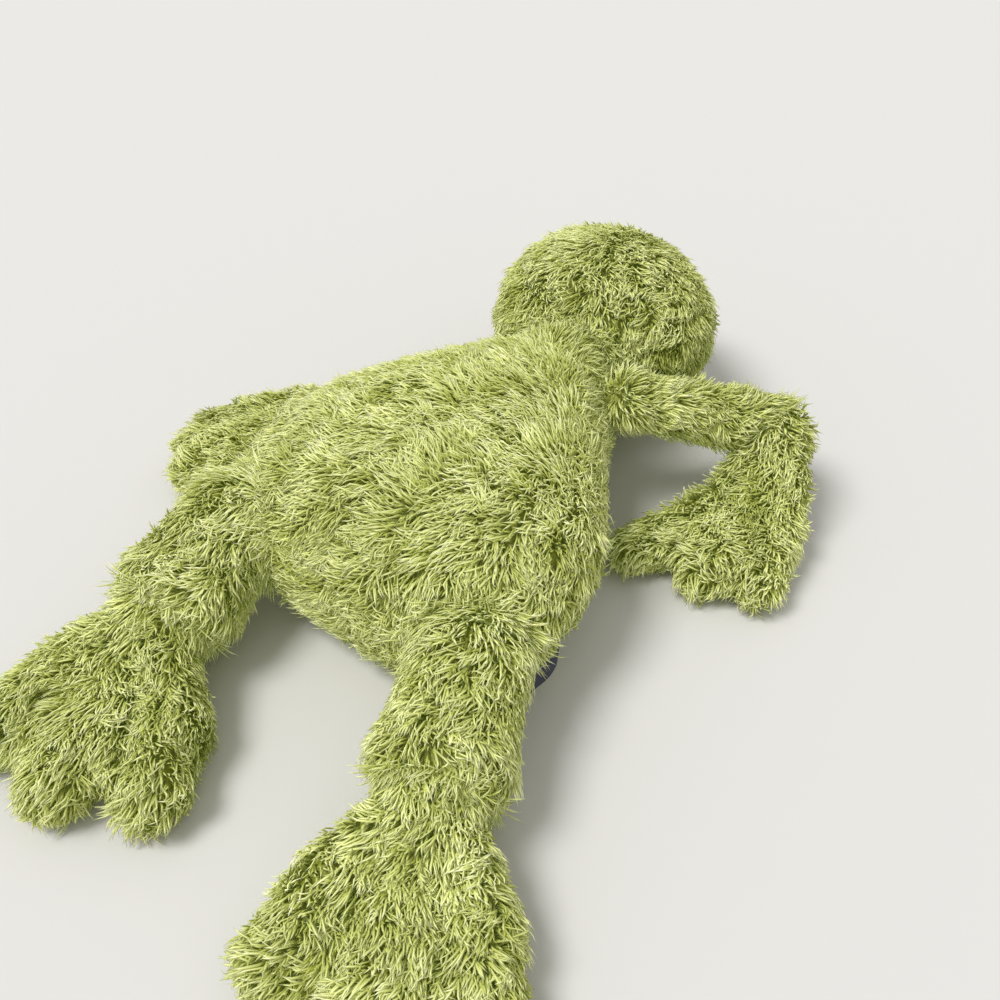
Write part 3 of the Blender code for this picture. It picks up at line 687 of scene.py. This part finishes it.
for number, side in enumerate(("right", "left")):
    shoulder = at_joint(side + "_shoulder_swing")
    elbow = at_joint(side + "_elbow")
    cover = side + "_upper_arm_cover"
    plush(
        side + "_upper_arm_plush", side + "_upper_arm",
        cloth_of(cover, [side + "_upper_arm_stuffing"], others(cover)),
        limb_comb(shoulder, elbow, 0.35, 0.1), 31 + 4 * number,
        [cover, side + "_upper_arm_stuffing"], length=0.9,
    )
    cover = side + "_forearm_cover"
    plush(
        side + "_forearm_plush", side + "_forearm",
        creased(
            cloth_of(cover, [side + "_hand_pellet_bag"], others(cover)),
            elbow, HAND_HEADINGS[number], HAND_PALM, HAND_SPLAY,
        ),
        paw_comb(elbow, middle_of(cover), 0.55, 0.15), 33 + 4 * number,
        [cover, side + "_hand_pellet_bag"], length=0.82,
    )


# Legs
# Each leg is a wide short tube of plush from the hip seam, and ends in a flat foot of three broad
# toes, weighted with pellets. The pile runs down the leg and fans out over the toes.

FOOT_HEADINGS = (-22, -14)
FOOT_PALM = 0.044
FOOT_SPLAY = 56

for number, side in enumerate(("right", "left")):
    hip = at_joint(side + "_hip_swing")
    ankle = at_joint(side + "_ankle")
    cover = side + "_leg_cover"
    plush(
        side + "_leg_plush", side + "_leg",
        cloth_of(cover, [side + "_leg_stuffing"], others(cover)),
        limb_comb(hip, ankle, 0.30, 0.1), 51 + 4 * number,
        [cover, side + "_leg_stuffing"],
    )
    cover = side + "_foot_cover"
    plush(
        side + "_foot_plush", side + "_foot",
        creased(
            cloth_of(cover, [side + "_foot_pellet_bag"], others(cover)),
            ankle, FOOT_HEADINGS[number], FOOT_PALM, FOOT_SPLAY,
        ),
        paw_comb(ankle, middle_of(cover), 0.55, 0.1), 53 + 4 * number,
        [cover, side + "_foot_pellet_bag"], length=0.9,
    )


# Seam threads
# Each joint is closed by a ring of green polyester thread that draws the two covers together.
# It lies in the crease, under the pile, and shows only where a limb is pulled aside.

thread_green, shader, start = finish("green_thread", 0.55)
spot = start.node("ShaderNodeTexCoord", {}, {}, 3)
twist = start.node("ShaderNodeTexWave", {}, {"Vector": spot, "Scale": 900.0, "Distortion": 1.5})
feed(shader, "Base Color", twist.node("ShaderNodeValToRGB", {"stops": [
    (0.2, dye(86, 98, 40)), (0.8, dye(142, 156, 78)),
]}, {"Fac": twist}))
for node in frame["nodes"].values():
    if node.name.endswith("_seam_thread"):
        dress(node, thread_green)


# Eyes
# Two moulded black plastic domes, each with a flange and a shank that passes through the cloth
# and is locked by a washer inside the head.

EYE_RADIUS = 0.0065
EYE_DOME = 0.0040
EYE_FLANGE = 0.0010
EYE_ROUND = 0.0004
SHANK_RADIUS = 0.0018
SHANK_LENGTH = 0.0060
DOME_STEPS = 10

eye_black, shader, start = finish("black_eye_plastic", 0.12)
shader.inputs["Specular IOR Level"].default_value = 0.4
spot = start.node("ShaderNodeTexCoord", {}, {}, 3)
scuffs = start.node("ShaderNodeTexNoise", {}, {"Vector": spot, "Scale": 420.0, "Detail": 6.0})
feed(shader, "Base Color", scuffs.blended(dye(6, 6, 7), dye(16, 15, 15)))
feed(shader, "Roughness", scuffs * 0.14 + 0.06)


def eye_dome(side):
    """A smooth dome on its flange and shank, spun in place of the faceted one."""
    eye = frame["nodes"][side + "_eye"]
    washer = middle_of(side + "_eye_washer")
    pole = max((vert.co for vert in eye.data.vertices), key=lambda co: (co - washer).length)
    axis = (pole - washer).normalized()
    profile = [
        (0, -SHANK_LENGTH), (SHANK_RADIUS, -SHANK_LENGTH), (SHANK_RADIUS, 0),
        (EYE_RADIUS - 0.75 * EYE_ROUND, 0), (EYE_RADIUS, EYE_ROUND), (EYE_RADIUS, EYE_FLANGE),
    ]
    for step in range(1, DOME_STEPS):
        angle = math.pi / 2 * step / DOME_STEPS
        profile.append((EYE_RADIUS * math.cos(angle), EYE_FLANGE + EYE_DOME * math.sin(angle)))
    profile.append((0, EYE_FLANGE + EYE_DOME))
    form = bmesh.new()
    points = [form.verts.new((radius, 0, height)) for radius, height in profile]
    for first, second in zip(points, points[1:]):
        form.edges.new((first, second))
    bmesh.ops.spin(
        form, geom=form.edges[:], cent=(0, 0, 0), axis=(0, 0, 1), angle=math.tau,
        steps=48, use_merge=True,
    )
    bmesh.ops.remove_doubles(form, verts=form.verts, dist=1e-6)
    bmesh.ops.recalc_face_normals(form, faces=form.faces)
    turn = axis.to_track_quat("Z", "Y").to_matrix().to_4x4()
    form.transform(Matrix.Translation(pole - (EYE_FLANGE + EYE_DOME) * axis) @ turn)
    mesh = bpy.data.meshes.new(side + "_eye_dome")
    form.to_mesh(mesh)
    form.free()
    mesh.shade_smooth()
    stand_in(
        side + "_eye_dome", mesh, "head", [side + "_eye"], eye_black
    )


washer_white, shader, start = finish("washer_plastic", 0.4)
spot = start.node("ShaderNodeTexCoord", {}, {}, 3)
cloudy = start.node("ShaderNodeTexNoise", {}, {"Vector": spot, "Scale": 600.0})
feed(shader, "Base Color", cloudy.blended(dye(214, 214, 206), dye(238, 238, 232)))
for side in ("right", "left"):
    eye_dome(side)
    dress(frame["nodes"][side + "_eye_washer"], washer_white)


# Mouth
# One line of thick dark thread, sewn through the front of the head from cheek to cheek and pulled
# in so that the pile parts along it.

mouth_dark, shader, start = finish("dark_thread", 0.7)
spot = start.node("ShaderNodeTexCoord", {}, {}, 3)
plies = start.node("ShaderNodeTexWave", {}, {"Vector": spot, "Scale": 700.0, "Distortion": 1.0})
feed(shader, "Base Color", plies.node("ShaderNodeValToRGB", {"stops": [
    (0.25, dye(28, 34, 16)), (0.8, dye(62, 72, 34)),
]}, {"Fac": plies}))
dress(frame["nodes"]["mouth_thread"], mouth_dark)


# Label
# A folded strip of navy woven tape, its cut ends caught in the right side seam. Nothing is
# written on it, and it shows only its weave.

STRIP_STEPS = 16
STRIP_BEVEL = 0.00018
STRIP_LEAN = 0.0016
STRIP_WAVE = 0.0010
STRIP_DRIFT = 0.0060

label_navy, shader, start = finish("navy_label_weave", 0.75)
spot = start.node("ShaderNodeTexCoord", {}, {}, 3)
weft = start.node("ShaderNodeTexWave", {"bands_direction": "Y"}, {"Vector": spot, "Scale": 520.0})
warp = start.node(
    "ShaderNodeTexWave", {"bands_direction": "DIAGONAL"}, {"Vector": spot, "Scale": 520.0}
)
weave = weft * 0.5 + warp * 0.5
feed(shader, "Base Color", weave.blended(dye(20, 22, 32), dye(60, 64, 80)))
relief = start.node("ShaderNodeBump", {}, {"Height": weave, "Distance": 0.0002, "Strength": 0.5})
feed(shader, "Normal", relief)


def hanging_strip():
    """The folded strip with its fold rounded, hanging in a slight wave from the seam."""
    form = bmesh.new()
    form.from_mesh(frame["nodes"]["side_label"].data)
    bmesh.ops.remove_doubles(form, verts=form.verts, dist=1e-6)
    bmesh.ops.dissolve_limit(form, angle_limit=0.01, verts=form.verts, edges=form.edges)
    low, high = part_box("side_label")
    long_edges = [
        edge for edge in form.edges
        if abs(edge.verts[0].co.y - edge.verts[1].co.y) > 0.9 * (high.y - low.y)
    ]
    bmesh.ops.bevel(
        form, geom=long_edges, offset=STRIP_BEVEL, offset_type="OFFSET", segments=2, profile=0.5,
        affect="EDGES", material=-1,
    )
    for step in range(1, STRIP_STEPS):
        bmesh.ops.bisect_plane(
            form, geom=form.verts[:] + form.edges[:] + form.faces[:],
            plane_co=(0, low.y + (high.y - low.y) * step / STRIP_STEPS, 0), plane_no=(0, 1, 0),
        )
    for vert in form.verts:
        along = (vert.co.y - low.y) / (high.y - low.y)
        hung = (high.z - vert.co.z) / (high.z - low.z)
        vert.co.x += STRIP_LEAN * hung - STRIP_WAVE * hung * math.sin(along * 5.2)
        vert.co.y += STRIP_DRIFT * hung
    bmesh.ops.triangulate(form, faces=form.faces)
    bmesh.ops.recalc_face_normals(form, faces=form.faces)
    mesh = bpy.data.meshes.new("side_label_strip")
    form.to_mesh(mesh)
    form.free()
    stand_in(
        "side_label_strip", mesh, "torso", ["side_label"], label_navy
    )


hanging_strip()


# Studio
# A plain pale floor that keeps the frog's shadow, a pale surround, one soft lamp from the upper
# left as the photograph has it, and the camera at the photograph's angle.

floor_pale, shader, start = finish("pale_floor", 0.9)
shader.inputs["Base Color"].default_value = dye(212, 210, 206)
form = bmesh.new()
bmesh.ops.create_grid(form, x_segments=1, y_segments=1, size=4.0)
mesh = bpy.data.meshes.new("floor")
form.to_mesh(mesh)
form.free()
mesh.materials.append(floor_pale)
floor = bpy.data.objects.new("floor", mesh)
bpy.context.collection.objects.link(floor)

world = bpy.data.worlds.new("studio")
bpy.context.scene.world = world
world.use_nodes = True
surround = Shade(world.node_tree)
world.node_tree.nodes["Background"].inputs["Color"].default_value = dye(240, 240, 240)
seen = surround.node("ShaderNodeLightPath", {}, {}, 0)
glossed = surround.node("ShaderNodeLightPath", {}, {}, 3)
passed = surround.node("ShaderNodeLightPath", {}, {}, 6)
shown = surround.node(
    "ShaderNodeMath", {"operation": "ADD", "use_clamp": True}, {0: seen, 1: glossed + passed}
)
strength = shown * 0.30 + 0.70
backdrop = world.node_tree.nodes["Background"]
world.node_tree.links.new(strength.socket, backdrop.inputs["Strength"])

lamp = bpy.data.lights.new("soft_lamp", "SUN")
lamp.energy = 2.3
lamp.angle = math.radians(24)
lamp_piece = bpy.data.objects.new("soft_lamp", lamp)
lamp_piece.rotation_mode = "QUATERNION"
lamp_piece.rotation_quaternion = Vector((0.34, 0.42, 1.0)).to_track_quat("Z", "Y")
bpy.context.collection.objects.link(lamp_piece)

lens = bpy.data.cameras.new("camera")
lens.sensor_width = 36.0
lens.lens = 36.1
lens.clip_start = 0.01
camera = bpy.data.objects.new("camera", lens)
camera.location = (-0.2425, 0.288, 0.42)
camera.rotation_mode = "QUATERNION"
camera.rotation_quaternion = Vector((0.4146, -0.5728, -0.7071)).to_track_quat("-Z", "Y")
bpy.context.collection.objects.link(camera)
bpy.context.scene.camera = camera
bpy.context.scene.view_settings.view_transform = "Standard"
